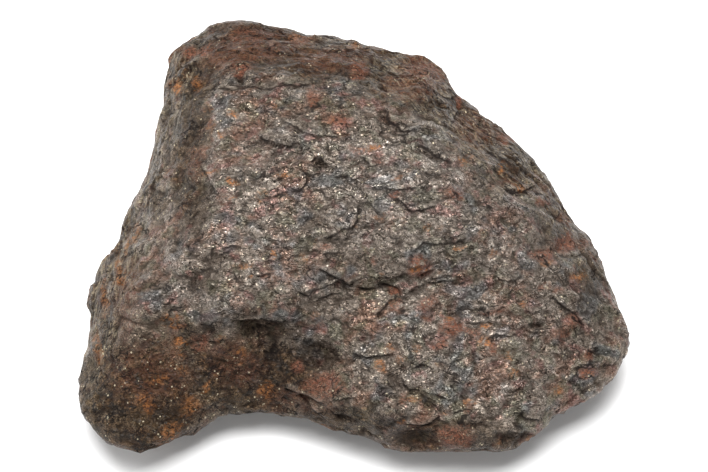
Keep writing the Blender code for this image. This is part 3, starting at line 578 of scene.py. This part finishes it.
# ---------------------------------------------------------------- relief
def flake_edge(noise, size, height, reach):
    """A ledge along the noise's zero line: a short steep drop, with the raised side sinking back over reach.
    Also the gap at its foot, from 0 to 1, where shade is painted."""
    d = noise * size * 0.5
    step = ramp(d, -0.14, 0.14)
    rise = 0.65 * step * np.exp(-np.maximum(d, 0) / reach) - 0.35 * (1 - step) * np.exp(np.minimum(d, 0) / (0.5 * reach))
    return height * rise, np.exp(-(((d + 0.12) / 0.16) ** 2))


def smooth_line(points, steps=6):
    """An open curve through the points."""
    p = np.array(points, float)
    p = np.concatenate([[2 * p[0] - p[1]], p, [2 * p[-1] - p[-2]]])
    rows = []
    for i in range(1, len(p) - 2):
        a, b, c, d = p[i - 1], p[i], p[i + 1], p[i + 2]
        for t in np.arange(steps) / steps:
            rows.append(0.5 * (2 * b + (c - a) * t + (2 * a - 5 * b + 4 * c - d) * t**2 + (3 * b - a - 3 * c + d) * t**3))
    rows.append(p[-2])
    return np.array(rows)


def line_distance(xy, line):
    """Distance to an open line, which side (+1 on the left hand), and how far along it from 0 to 1."""
    best = np.full(len(xy), 1e18)
    side = np.ones(len(xy))
    along = np.zeros(len(xy))
    n = len(line) - 1
    for i in range(n):
        a, e = line[i], line[i + 1] - line[i]
        dx, dy = xy[:, 0] - a[0], xy[:, 1] - a[1]
        raw = (dx * e[0] + dy * e[1]) / (e @ e)
        t = np.clip(raw, 0, 1)
        d = (dx - e[0] * t) ** 2 + (dy - e[1] * t) ** 2
        near = d < best
        best = np.where(near, d, best)
        side = np.where(near, np.where(e[0] * dy - e[1] * dx < 0, 1.0, -1.0), side)
        along = np.where(near, (i + t) / n, along)
    return np.sqrt(best), side, along


def near_to(at, points, reach):
    p = np.array(points, float)
    low, high = p.min(0) - reach, p.max(0) + reach
    return np.nonzero(((at > low) & (at < high)).all(1))[0]


def drawn_relief(at, wobble):
    """The ledges, creases and pits that have a place in the drawing, in millimetres, with the gaps to paint shade in,
    the distance from the nearest drop and how strong that drop is."""
    total, gaps = np.zeros(len(at)), np.zeros(len(at))
    nearest, weight = np.full(len(at), 12.0), np.zeros(len(at))
    xy = at + wobble
    for height, reach, points in LEDGES:
        pick = near_to(xy, points, reach * 3)
        d, side, along = line_distance(xy[pick], smooth_line(points))
        ends = ramp(along, 0.0, 0.12) * ramp(-along, -1.0, -0.88)
        s = d * side
        up = ramp(s, -1.0, 1.0) * np.exp(-np.maximum(s, 0) / reach)
        down = (1 - ramp(s, -1.0, 1.0)) * np.exp(np.minimum(s, 0) / (reach * 0.5))
        total[pick] += height * ends * (0.65 * up - 0.35 * down)
        gaps[pick] = np.maximum(gaps[pick], 0.6 * ends * min(1, 0.45 + height) * np.exp(-(((s + 1.0) / 1.5) ** 2)))
        closer = np.abs(s) < np.abs(nearest[pick])
        nearest[pick] = np.where(closer, s, nearest[pick])
        weight[pick] = np.where(closer, ends * ramp(-np.abs(s), -10, -6) * min(1, 0.45 + 1.6 * height), weight[pick])
    for depth, width, points in CREASES:
        pick = near_to(xy, points, width * 4)
        d, side, along = line_distance(xy[pick], smooth_line(points))
        ends = ramp(along, 0.0, 0.15) * ramp(-along, -1.0, -0.85)
        total[pick] -= depth * ends * np.exp(-((d / width) ** 2))
        if depth > 0:
            gaps[pick] = np.maximum(gaps[pick], 0.7 * ends * min(1, 0.4 + depth) * np.exp(-((d / min(width, 2.0)) ** 2)))
    for x, y, rx, ry, turn, depth in PITS:
        reach = max(rx, ry) * 2
        pick = near_to(xy, [(x, y)], reach)
        c, s = math.cos(math.radians(turn)), math.sin(math.radians(turn))
        dx, dy = xy[pick, 0] - x, xy[pick, 1] - y
        r2 = ((dx * c + dy * s) / rx) ** 2 + ((-dx * s + dy * c) / ry) ** 2
        total[pick] -= depth * np.exp(-(r2**1.5))
    return total, gaps, nearest, weight


def patches(xy, spots):
    total = np.zeros(len(xy))
    for x, y, rx, ry, strength in spots:
        pick = near_to(xy, [(x, y)], max(rx, ry) * 2)
        r2 = ((xy[pick, 0] - x) / rx) ** 2 + ((xy[pick, 1] - y) / ry) ** 2
        total[pick] = np.maximum(total[pick], strength * (1 - ramp(np.sqrt(r2), 0.5, 1.35)))
    return total


def stone():
    """Points in millimetres in the model's frame, quads, and the values that colour them."""
    directions, quads = ray_patches(DIVISIONS)
    near, share = neighbours(len(directions), quads)
    base = relaxed(surface_points(directions), near, share, 6)
    out_way = normals(base, quads)
    for _ in range(2):
        out_way = around(out_way, near, share)
    out_way /= np.linalg.norm(out_way, axis=1)[:, None]

    eye = np.array([0, -VIEW_DISTANCE * math.cos(UP), MIDDLE_HEIGHT + VIEW_DISTANCE * math.sin(UP)])
    to_eye = eye - base
    to_eye /= np.linalg.norm(to_eye, axis=1)[:, None]
    facing = (out_way * to_eye).sum(1)
    seen = ramp(facing, -0.05, 0.2)
    at = drawing_place(base)
    free = np.maximum(ramp(foot_ring(base), 0.98, 1.35), ramp(base[:, 2], 1.2, 2.5))

    bend = np.stack([lumps(base, 5.0, s) for s in (31, 32, 33)], axis=1) * 1.1
    bend += np.stack([lumps(base, 1.9, s) for s in (34, 35, 36)], axis=1) * 0.55
    long = (base + bend) * (0.72, 1.1, 1.15)
    n1, n2 = lumps(long, 5.2, 42), lumps(long, 2.6, 43)
    n3, n4 = lumps(base + bend * 0.5, 1.4, 44), lumps(base, 0.8, 45)

    scoop = cells(base + bend * 0.9, 8.5, 40)[0]
    dimples = 0.8 * (np.minimum(scoop, 0.95) ** 2 - 0.4) + 0.34 * n1 + 0.13 * n2
    ledges, gaps = np.zeros(len(base)), np.zeros(len(base))
    for i, (size, height, reach) in enumerate([(8.0, 0.50, 1.9), (6.0, 0.42, 1.6), (5.0, 0.34, 1.3), (3.6, 0.22, 1.0), (2.6, 0.12, 0.7), (2.0, 0.06, 0.5)]):
        line = lumps(long + 17 * i, size, 101 + i) + 0.16 * n2 + 0.10 * n3 + 0.05 * n4
        there = ramp(lumps(base + 31 * i, size * 0.9, 121 + i), -0.15, 0.30)
        rise, gap = flake_edge(line, size, height, reach)
        ledges += rise * there
        gaps = np.maximum(gaps, gap * there * min(1, 0.3 + height))
    fold = lumps(long, 5.0, 47) + 0.12 * n3
    crease = np.exp(-((fold / 0.05) ** 2)) * ramp(lumps(base, 9.0, 48), 0.0, 0.4)
    creases = -0.22 * crease
    gaps = np.maximum(gaps, 0.8 * crease)
    fine = 0.030 * n3 + 0.022 * n4
    fine += plates(long, 3.4, 0.09, 0.04, 91) + plates(long + 50, 1.7, 0.10, 0.02, 92) + plates(base * (0.8, 1, 1) + 90, 0.95, 0.12, 0.010, 93)

    # Leaved lines along the left wall, and streaks down the bevel on the right.
    wall = (1 - ramp(np.abs(at[:, 0] - (176 - 0.3 * (at[:, 1] - 60))), 14, 34)) * (1 - ramp(at[:, 1], 330, 400)) * ramp(at[:, 1], 30, 70)
    u = at[:, 0] * 0.954 + at[:, 1] * 0.30
    leaves = lumps(np.stack([u / 3.2, (at[:, 1] * 0.954 - at[:, 0] * 0.3) / 40, 0 * u], axis=1) + bend * 0.25, 1.0, 61)
    bevel = ramp(at[:, 0] - at[:, 1] * 0.9, 285, 340) * ramp(-at[:, 1], -250, -190)
    w = at[:, 0] * 0.64 - at[:, 1] * 0.77
    streaks = lumps(np.stack([w / 6.0, (at[:, 0] * 0.77 + at[:, 1] * 0.64) / 34, 0 * w], axis=1) + bend * 0.3, 1.0, 62)

    on_wall = wall > bevel
    across = np.where(on_wall, u, w) + 2.0 * lumps(base, 4.0, 63) + 0.5 * lumps(base, 1.6, 64)
    along = np.where(on_wall, at[:, 1] * 0.954 - at[:, 0] * 0.3, at[:, 0] * 0.77 + at[:, 1] * 0.64)
    strands = seen * np.maximum(wall, 0.8 * bevel)

    wobble = np.stack([lumps(base, 2.2, 51) * 2.4, lumps(base, 2.2, 52) * 2.4], axis=1)
    drawn, drawn_gaps, drop, drop_weight = drawn_relief(at, wobble)
    drawn = 1.15 * drawn * seen
    gaps = np.maximum(gaps * 0.8, drawn_gaps * seen) * free

    height = dimples + ledges + creases + fine
    height += seen * (0.22 * wall * leaves + 0.16 * bevel * streaks)
    rim = 1 - 0.55 * np.exp(-((facing / 0.16) ** 2))
    height = (height - height.mean()) * rim + drawn
    height *= free
    points = base + out_way * height[:, None]

    # How far each point stands out from what is around it, near by and further off; the colour gets painted highlight
    # where it stands out and painted shade where it sinks.
    soft = height
    for _ in range(3):
        soft = soft + 0.7 * (around(soft, near, share) - soft)
    close = height - soft
    wide = soft
    for _ in range(30):
        wide = wide + 0.7 * (around(wide, near, share) - wide)
    broad = soft - wide
    proud = np.clip(close / 0.10 + broad / 0.5, -1.5, 1.5)

    xy = at + np.stack([lumps(base, 1.6, 71) * 4 + lumps(base, 4.5, 72) * 5, lumps(base, 1.6, 73) * 4 + lumps(base, 4.5, 74) * 5], axis=1)
    away = 1 - seen
    wild = lumps(base + bend, 7.0, 81)
    wild2 = lumps(base + bend, 3.2, 82)
    red = patches(xy, RED) * seen + away * ramp(wild + 0.4 * wild2, 0.25, 0.6) * 0.8
    orange = patches(xy, ORANGE) * seen + away * ramp(wild2 - 0.3 * wild, 0.35, 0.6) * 0.7
    # Painted shade in the hollows and a darker tone, also on the far side.
    shade_and_tone = patches(xy, SHADE_AND_TONE) * seen + away * 0.35
    # Painted sheen and highlights.
    painted_sheen = patches(xy, PAINTED_SHEEN) * seen
    brown = patches(xy, BROWN) * seen + away * 0.6
    red = np.maximum(red, 0.4 * ramp(wild + 0.5 * wild2, 0.55, 0.85))
    orange = np.maximum(orange, 0.3 * ramp(lumps(base, 2.1, 83) + 0.4 * n3, 0.66, 0.84))

    points[:, 2] = np.maximum(points[:, 2], 0)
    points[:, :2] += SHIFT
    return points, quads, {"red": red, "orange": orange, "shade_and_tone": shade_and_tone, "painted_sheen": painted_sheen, "brown": brown, "drop": drop, "drop_weight": drop_weight * seen, "proud": proud * free, "gaps": gaps, "across": across, "along": along, "strands": strands}


# ---------------------------------------------------------------- material
class Nodes:
    """A few short names for making shader nodes."""

    def __init__(self, tree):
        self.tree = tree

    def new(self, kind, **values):
        n = self.tree.nodes.new(kind)
        for k, v in values.items():
            setattr(n, k, v)
        return n

    def put(self, socket, value):
        if isinstance(value, bpy.types.NodeSocket):
            self.tree.links.new(value, socket)
        else:
            socket.default_value = value

    def math(self, operation, a, b=0.0, clamp=False):
        n = self.new("ShaderNodeMath", operation=operation, use_clamp=clamp)
        self.put(n.inputs[0], a)
        self.put(n.inputs[1], b)
        return n.outputs[0]

    def mix(self, share, a, b, blend="MIX"):
        n = self.new("ShaderNodeMix", data_type="RGBA", blend_type=blend)
        self.put(n.inputs[0], share)
        self.put(n.inputs[6], a)
        self.put(n.inputs[7], b)
        return n.outputs[2]

    def span(self, value, a, b, c=0.0, d=1.0):
        n = self.new("ShaderNodeMapRange", interpolation_type="SMOOTHSTEP")
        for i, v in enumerate((value, a, b, c, d)):
            self.put(n.inputs[i], v)
        return n.outputs[0]

    def attribute(self, name):
        return self.new("ShaderNodeAttribute", attribute_type="GEOMETRY", attribute_name=name).outputs["Fac"]

    def noise(self, place, size_mm, detail=3.0, rough=0.55, warp=0.0):
        n = self.new("ShaderNodeTexNoise", noise_dimensions="3D")
        self.put(n.inputs["Vector"], place)
        n.inputs["Scale"].default_value = 1000.0 / size_mm
        n.inputs["Detail"].default_value = detail
        n.inputs["Roughness"].default_value = rough
        n.inputs["Distortion"].default_value = warp
        return n.outputs["Fac"]

    def cells(self, place, size_mm, feature="F1"):
        n = self.new("ShaderNodeTexVoronoi", voronoi_dimensions="3D", feature=feature)
        self.put(n.inputs["Vector"], place)
        n.inputs["Scale"].default_value = 1000.0 / size_mm
        return n

    def vector(self, operation, a, b=(0.0, 0.0, 0.0)):
        n = self.new("ShaderNodeVectorMath", operation=operation)
        self.put(n.inputs[0], a)
        self.put(n.inputs[1], b)
        return n.outputs["Value" if operation == "DOT_PRODUCT" else "Vector"]

    def stretched(self, place, turn_deg, length):
        """Places to read a pattern at, so that it comes out long in one direction across the ground plane."""
        n = self.new("ShaderNodeMapping")
        self.put(n.inputs["Vector"], place)
        n.inputs["Rotation"].default_value = (0.25, 0.2, math.radians(turn_deg))
        n.inputs["Scale"].default_value = (1.0 / length, 1.0, 0.8)
        return n.outputs[0]

    def fibre(self, noise, wide):
        """1 along the noise's middle line, 0 away from it."""
        return self.span(self.math("ABSOLUTE", self.math("SUBTRACT", noise, 0.5)), wide, 0.0)

    def flake(self, noise, there, height_mm, reach):
        """A step along the noise's middle line that sinks back over reach, and the gap at its foot, where shade is
        painted.
        """
        d = self.math("SUBTRACT", noise, 0.5)
        step = self.span(d, -0.004, 0.005)
        slope = self.math("SUBTRACT", 1.0, self.math("DIVIDE", d, reach), True)
        rise = self.math("MULTIPLY", self.math("MULTIPLY", step, slope), self.math("MULTIPLY", there, height_mm / 1000.0))
        gap = self.span(self.math("ABSOLUTE", self.math("ADD", d, 0.005)), 0.013, 0.002)
        return rise, self.math("MULTIPLY", gap, there)

    def facets(self, place, size_mm, tilt):
        """Height in metres of small flat facets that each lean their own way, and the cell they are in."""
        n = self.cells(place, size_mm)
        lean = self.vector("SUBTRACT", n.outputs["Color"], (0.5, 0.5, 0.5))
        way = self.vector("SUBTRACT", place, n.outputs["Position"])
        return self.math("MULTIPLY", self.vector("DOT_PRODUCT", way, lean), 2 * tilt), n


def iron_material():
    m = bpy.data.materials.new("weathered_iron_crust")
    m.use_nodes = True
    tree = m.node_tree
    tree.nodes.clear()
    k = Nodes(tree)
    place = k.new("ShaderNodeTexCoord").outputs["Object"]
    red, orange, shade_and_tone, painted_sheen, brown, proud, gaps, drop, drop_weight = (
        k.attribute(n) for n in ("red", "orange", "shade_and_tone", "painted_sheen", "brown", "proud", "gaps", "drop", "drop_weight")
    )

    big = k.noise(place, 6.0, 3.0, 0.6)
    mid = k.noise(place, 1.7, 3.0, 0.6)
    small = k.noise(place, 0.31, 2.0, 0.7)
    coarse = k.noise(place, 0.50, 3.0, 0.8)
    tiny = k.noise(place, 0.17, 1.0, 0.6)
    # Short curved fibres that run different ways in different places, and small facets drawn out the same way.
    swirl = k.new("ShaderNodeTexNoise", noise_dimensions="3D")
    k.put(swirl.inputs["Vector"], place)
    swirl.inputs["Scale"].default_value = 1000.0 / 1.5
    swirl.inputs["Detail"].default_value = 2.5
    bent = k.new("ShaderNodeVectorMath", operation="SCALE")
    k.put(bent.inputs[0], k.vector("SUBTRACT", swirl.outputs["Color"], (0.5, 0.5, 0.5)))
    bent.inputs["Scale"].default_value = 0.0020
    curved = k.vector("ADD", place, bent.outputs[0])
    which = k.span(k.noise(place, 2.0, 1.0), 0.47, 0.53)
    other = k.math("SUBTRACT", 1.0, which)
    way_a, way_b = k.stretched(curved, 20, 3.0), k.stretched(curved, -48, 2.6)
    run = k.math("ADD", k.math("MULTIPLY", k.noise(way_a, 0.22, 2.0, 0.65), which), k.math("MULTIPLY", k.noise(way_b, 0.22, 2.0, 0.65), other))
    facet_a, little_a = k.facets(way_a, 0.22, 0.51)
    facet_b, little_b = k.facets(way_b, 0.22, 0.51)
    facet_h = k.math("ADD", k.math("MULTIPLY", facet_a, which), k.math("MULTIPLY", facet_b, other))
    chance = k.new("ShaderNodeSeparateColor")
    k.put(chance.inputs[0], k.mix(which, little_b.outputs["Color"], little_a.outputs["Color"]))
    first, second, third = chance.outputs[0], chance.outputs[1], chance.outputs[2]
    thread = k.fibre(run, 0.045)
    fleck = k.math("ADD", k.math("MULTIPLY", small, 0.25), k.math("MULTIPLY", tiny, 0.15))
    fleck = k.math("ADD", fleck, k.math("MULTIPLY", run, 0.60))
    # Thin strands that run down the left wall and the right bevel.
    course = k.new("ShaderNodeCombineXYZ")
    k.put(course.inputs[0], k.attribute("across"))
    k.put(course.inputs[1], k.math("MULTIPLY", k.attribute("along"), 0.06))
    strand = k.noise(course.outputs[0], 3400, 2.5, 0.65)
    strands = k.math("MULTIPLY", k.attribute("strands"), k.span(mid, 0.36, 0.56, 0.35, 1.0))
    # Flake edges: thin steps, with painted shade in the gap below.
    long = k.new("ShaderNodeMapping")
    k.put(long.inputs["Vector"], curved)
    long.inputs["Scale"].default_value = (0.6, 1.0, 1.1)
    edges = []
    for size, height, reach, lo in ((5.0, 0.16, 0.16, 0.46), (3.0, 0.12, 0.16, 0.48), (1.8, 0.07, 0.18, 0.48)):
        there = k.span(k.noise(place, size * 0.8, 2.0), lo, lo + 0.08)
        edges.append(k.flake(k.noise(long.outputs[0], size, 2.5, 0.5), there, height, reach))
    edge_h = k.math("ADD", k.math("ADD", edges[0][0], edges[1][0]), edges[2][0])
    edge_gap = k.math("MAXIMUM", k.math("MAXIMUM", edges[0][1], edges[1][1]), k.math("MULTIPLY", edges[2][1], 0.7))
    firm = k.math("MULTIPLY", k.math("POWER", drop_weight, 3.0), 0.85)
    drop_weight = k.math("MULTIPLY", drop_weight, k.math("MAXIMUM", firm, k.span(k.noise(place, 1.5, 2.0), 0.40, 0.56, 0.15, 1.0)))
    ragged_drop = k.math("ADD", drop, k.math("MULTIPLY", k.math("SUBTRACT", k.noise(place, 0.7, 3.0), 0.5), 5.0))
    drop_h = k.math("MULTIPLY", k.math("MULTIPLY", k.span(ragged_drop, -0.5, 0.6), k.math("SUBTRACT", 1.0, k.math("DIVIDE", ragged_drop, 9.0), True)), k.math("MULTIPLY", drop_weight, 0.00014))
    # The foot of a listed ledge, where shade is painted.
    drop_gap = k.math("MULTIPLY", k.span(k.math("ABSOLUTE", k.math("ADD", ragged_drop, 0.7)), 1.5, 0.3), drop_weight)
    edge_h = k.math("ADD", edge_h, drop_h)
    edge_gap = k.math("MAXIMUM", edge_gap, drop_gap)

    # The crust: soft patches of grey brown, rust brown, olive, blue grey and purple grey.
    colour = k.mix(k.span(mid, 0.36, 0.62), (0.124, 0.095, 0.074, 1), (0.190, 0.156, 0.126, 1))
    colour = k.mix(k.span(big, 0.50, 0.62, 0.0, 0.65), colour, (0.172, 0.084, 0.052, 1))
    colour = k.mix(k.span(k.noise(place, 3.1, 2.0, 0.6), 0.52, 0.63, 0.0, 0.6), colour, (0.110, 0.109, 0.072, 1))
    colour = k.mix(k.span(k.noise(place, 2.6, 2.0, 0.6), 0.45, 0.32, 0.0, 0.85), colour, (0.182, 0.094, 0.078, 1))
    colour = k.mix(k.span(k.noise(place, 4.3, 2.0, 0.6), 0.54, 0.66, 0.0, 0.6), colour, (0.092, 0.104, 0.112, 1))
    colour = k.mix(k.math("MULTIPLY", brown, 0.88), colour, k.mix(k.span(mid, 0.36, 0.62), (0.017, 0.0085, 0.0035, 1), (0.058, 0.033, 0.014, 1)))
    colour = k.mix(k.math("MULTIPLY", strands, k.span(strand, 0.54, 0.61, 0.0, 0.7)), colour, (0.013, 0.008, 0.005, 1))
    # Light threads and grains, lighter where the surface stands proud (painted highlight), dark ones between them.
    light = k.math("ADD", k.math("MULTIPLY", thread, 0.85), k.span(second, 0.84, 0.97, 0.0, 0.5), True)
    light = k.math("MULTIPLY", light, k.span(tiny, 0.40, 0.54, 0.15, 1.0))
    grey = k.math("SUBTRACT", 1.0, k.math("MULTIPLY", brown, 0.1), True)
    colour = k.mix(k.math("MULTIPLY", k.math("MULTIPLY", light, grey), k.span(proud, -0.8, 1.0, 0.25, 0.95)), colour, k.mix(0.5, k.mix(1.0, colour, (3.8, 3.8, 3.8, 1), "MULTIPLY"), k.mix(brown, (0.67, 0.605, 0.55, 1), (0.46, 0.32, 0.18, 1))))
    # Painted sheen and highlights: the colour, and the light threads more so, are lifted in the sheen patches.
    colour = k.mix(k.math("MULTIPLY", painted_sheen, 0.22), colour, (0.30, 0.268, 0.248, 1))
    colour = k.mix(k.math("MULTIPLY", painted_sheen, k.math("MULTIPLY", light, 0.75)), colour, (0.72, 0.675, 0.62, 1))
    dark = k.math("MAXIMUM", k.span(fleck, 0.465, 0.40), k.math("MULTIPLY", k.span(run, 0.57, 0.64), 0.7))
    colour = k.mix(k.math("MULTIPLY", dark, k.math("ADD", 0.64, k.math("MULTIPLY", brown, 0.15))), colour, (0.014, 0.010, 0.007, 1))
    # The brown places are grainier, with light and dark grains and some blue grey in the dark.
    dusk = k.span(k.noise(place, 1.9, 3.0, 0.6), 0.50, 0.60)
    colour = k.mix(k.math("MULTIPLY", brown, k.math("MULTIPLY", dusk, 0.6)), colour, (0.020, 0.021, 0.021, 1))
    grainy = k.math("MULTIPLY", brown, k.span(k.noise(place, 2.4, 2.0, 0.6), 0.44, 0.60, 0.25, 0.95))
    colour = k.mix(k.math("MULTIPLY", grainy, k.span(coarse, 0.54, 0.61, 0.0, 0.62)), colour, k.mix(k.span(big, 0.45, 0.60), (0.31, 0.24, 0.165, 1), (0.32, 0.185, 0.09, 1)))
    colour = k.mix(k.math("MULTIPLY", grainy, k.span(coarse, 0.49, 0.41, 0.0, 0.85)), colour, (0.008, 0.005, 0.003, 1))
    # Painted shade where the surface sinks below what is around it.
    colour = k.mix(k.span(k.math("MULTIPLY", proud, -1.0), 0.1, 1.2, 0.0, 0.5), colour, (0.020, 0.012, 0.008, 1))
    # Painted shade in the hollows, pits and along the near edge, and a darker tone on the bevels and on the far side.
    colour = k.mix(k.math("MULTIPLY", shade_and_tone, 0.85), colour, (0.30, 0.22, 0.165, 1), "MULTIPLY")
    colour = k.mix(k.math("MULTIPLY", strands, k.math("MULTIPLY", k.fibre(strand, 0.040), k.span(small, 0.40, 0.56, 0.25, 0.75))), colour, (0.36, 0.30, 0.205, 1))
    # Painted highlight along the top edge of a ledge and painted shade at its foot.
    ledge_highlight = k.math("MULTIPLY", k.math("MULTIPLY", k.span(ragged_drop, 0.3, 1.0), k.span(ragged_drop, 6.0, 1.5)), drop_weight)
    colour = k.mix(k.math("MULTIPLY", ledge_highlight, k.span(fleck, 0.42, 0.56, 0.10, 0.45)), colour, (0.36, 0.315, 0.26, 1))
    under = k.math("MULTIPLY", k.math("MULTIPLY", k.span(ragged_drop, 0.2, -0.8), k.span(ragged_drop, -6.5, -1.5)), drop_weight)
    colour = k.mix(k.math("MULTIPLY", under, 0.42), colour, (0.018, 0.011, 0.007, 1))

    # Rust.
    blotch = k.span(k.noise(place, 1.1, 3.0, 0.65), 0.30, 0.50)
    grain = k.math("MULTIPLY", blotch, k.span(fleck, 0.40, 0.52, 0.35, 1.0))
    colour = k.mix(k.math("MULTIPLY", red, k.math("MULTIPLY", grain, 0.9)), colour, k.mix(light, k.mix(k.span(fleck, 0.42, 0.58), (0.066, 0.019, 0.010, 1), (0.178, 0.062, 0.035, 1)), (0.36, 0.175, 0.11, 1)))
    rare = k.math("MULTIPLY", grain, k.span(k.noise(place, 0.8, 2.0), 0.36, 0.50))
    colour = k.mix(k.math("MULTIPLY", orange, k.math("MULTIPLY", rare, 0.9)), colour, k.mix(k.span(fleck, 0.42, 0.58), (0.11, 0.036, 0.011, 1), (0.36, 0.145, 0.046, 1)))

    # Sparse pale grains.
    speck = k.cells(place, 0.5)
    seldom = k.math("ADD", k.noise(place, 1.3, 2.0), k.math("MULTIPLY", brown, 0.02))
    bright = k.math("MULTIPLY", k.span(k.math("ADD", speck.outputs["Distance"], k.math("MULTIPLY", small, 0.5)), 0.56, 0.40), k.span(seldom, 0.59, 0.66))
    colour = k.mix(k.math("MULTIPLY", bright, 0.75), colour, (0.62, 0.53, 0.37, 1))

    # Painted shade in the gaps under the ledges, in the creases and at the foot of the flake edges and the listed
    # ledges.
    colour = k.mix(k.span(gaps, 0.25, 0.85, 0.0, 0.75), colour, (0.012, 0.007, 0.005, 1))
    colour = k.mix(k.math("MULTIPLY", edge_gap, 0.9), colour, (0.008, 0.005, 0.004, 1))

    shade = k.new("ShaderNodeBsdfPrincipled")
    k.put(shade.inputs["Base Color"], colour)
    rusty = k.math("MAXIMUM", red, orange)
    metal = k.math("MULTIPLY", k.math("SUBTRACT", 1.0, rusty, True), k.span(third, 0.1, 0.8, 0.3, 0.95))
    metal = k.math("MULTIPLY", metal, k.span(gaps, 0.2, 0.7, 1.0, 0.0))
    metal = k.math("MULTIPLY", metal, k.math("SUBTRACT", 1.0, edge_gap, True))
    metal = k.math("MULTIPLY", metal, k.math("SUBTRACT", 1.0, k.math("MULTIPLY", brown, k.span(second, 0.70, 0.90, 0.97, 0.35)), True))
    shade.inputs["Specular IOR Level"].default_value = 0.14
    k.put(shade.inputs["Metallic"], metal)
    rough = k.math("ADD", k.span(first, 0.0, 1.0, 0.19, 0.40), k.math("MULTIPLY", rusty, 0.2))
    rough = k.math("ADD", rough, k.math("MULTIPLY", k.math("MAXIMUM", edge_gap, k.span(gaps, 0.2, 0.7)), 0.45))
    rough = k.math("ADD", rough, k.math("MULTIPLY", brown, 0.12), True)
    k.put(shade.inputs["Roughness"], rough)

    relief = k.math("ADD", facet_h, k.math("MULTIPLY", k.noise(place, 0.34, 2.0, 0.6), 0.00004))
    relief = k.math("ADD", relief, k.math("MULTIPLY", k.noise(place, 1.3, 4.0, 0.62), 0.00008))
    relief = k.math("ADD", relief, k.math("MULTIPLY", thread, 0.00005))
    relief = k.math("ADD", relief, k.math("MULTIPLY", k.math("MULTIPLY", strand, strands), -0.00022))
    relief = k.math("ADD", relief, edge_h)
    bump = k.new("ShaderNodeBump")
    bump.inputs["Strength"].default_value = 1.0
    bump.inputs["Distance"].default_value = 1.0
    k.put(bump.inputs["Height"], relief)
    k.put(shade.inputs["Normal"], bump.outputs[0])
    end = k.new("ShaderNodeOutputMaterial")
    tree.links.new(shade.outputs[0], end.inputs[0])
    return m


def floor_material():
    m = bpy.data.materials.new("white_table")
    m.use_nodes = True
    shade = m.node_tree.nodes["Principled BSDF"]
    shade.inputs["Base Color"].default_value = (0.9, 0.9, 0.9, 1)
    shade.inputs["Roughness"].default_value = 1.0
    shade.inputs["Specular IOR Level"].default_value = 0.0
    shade.inputs["Emission Color"].default_value = (1.0, 1.0, 1.0, 1)
    shade.inputs["Emission Strength"].default_value = 0.08
    return m


# ---------------------------------------------------------------- making it
def make_stone():
    points, quads, values = stone()
    mesh = bpy.data.meshes.new("meteorite_stone")
    mesh.from_pydata((points / 1000).tolist(), [], quads.tolist())
    mesh.update()
    for name, v in values.items():
        layer = mesh.attributes.new(name, "FLOAT", "POINT")
        layer.data.foreach_set("value", v.astype(np.float32))
    mesh.shade_smooth()
    mesh.materials.append(iron_material())
    piece = bpy.data.objects.new("meteorite_stone", mesh)
    bpy.context.scene.collection.objects.link(piece)
    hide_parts("meteorite")
    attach(piece, "root")
    return piece


def make_stage():
    mesh = bpy.data.meshes.new("table_top")
    s = 3.0
    mesh.from_pydata([(-s, -s, 0), (s, -s, 0), (s, s, 0), (-s, s, 0)], [], [(0, 1, 2, 3)])
    mesh.materials.append(floor_material())
    floor = bpy.data.objects.new("table_top", mesh)
    floor.location.z = -0.00002
    bpy.context.scene.collection.objects.link(floor)

    world = bpy.data.worlds.new("studio")
    bpy.context.scene.world = world
    world.use_nodes = True
    back = world.node_tree.nodes["Background"]
    back.inputs["Color"].default_value = (1.0, 1.0, 1.0, 1)
    back.inputs["Strength"].default_value = 0.3

    def panel(name, place, aim, size, power, colour=(1, 1, 1)):
        light = bpy.data.lights.new(name, "AREA")
        light.shape = "RECTANGLE"
        light.size, light.size_y = size
        light.energy = power
        light.color = colour
        o = bpy.data.objects.new(name, light)
        o.location = place
        o.rotation_mode = "QUATERNION"
        o.rotation_quaternion = (Vector(aim) - Vector(place)).to_track_quat("-Z", "Y")
        bpy.context.scene.collection.objects.link(o)

    panel("overhead", (-0.02, 0.05, 0.55), (0, 0, 0.01), (0.42, 0.38), 6.6)
    panel("left", (-0.55, 0.12, 0.28), (0, 0, 0.01), (0.25, 0.25), 1.0)


def make_camera():
    target = Vector((SHIFT[0] / 1000, SHIFT[1] / 1000, MIDDLE_HEIGHT / 1000))
    back = Vector((0, -math.cos(UP), math.sin(UP)))
    camera = bpy.data.cameras.new("camera")
    camera.sensor_width = 36.0
    camera.lens = 36.0 * VIEW_DISTANCE / (708 * UNIT_MM)
    camera.clip_start, camera.clip_end = 0.01, 20.0
    o = bpy.data.objects.new("camera", camera)
    o.location = target + back * (VIEW_DISTANCE / 1000)
    o.rotation_mode = "QUATERNION"
    o.rotation_quaternion = (-back).to_track_quat("-Z", "Y")
    bpy.context.scene.collection.objects.link(o)
    bpy.context.scene.camera = o


make_camera()
make_stage()
make_stone()

bpy.context.scene.view_settings.view_transform = "Standard"
bpy.context.scene.view_settings.look = "None"
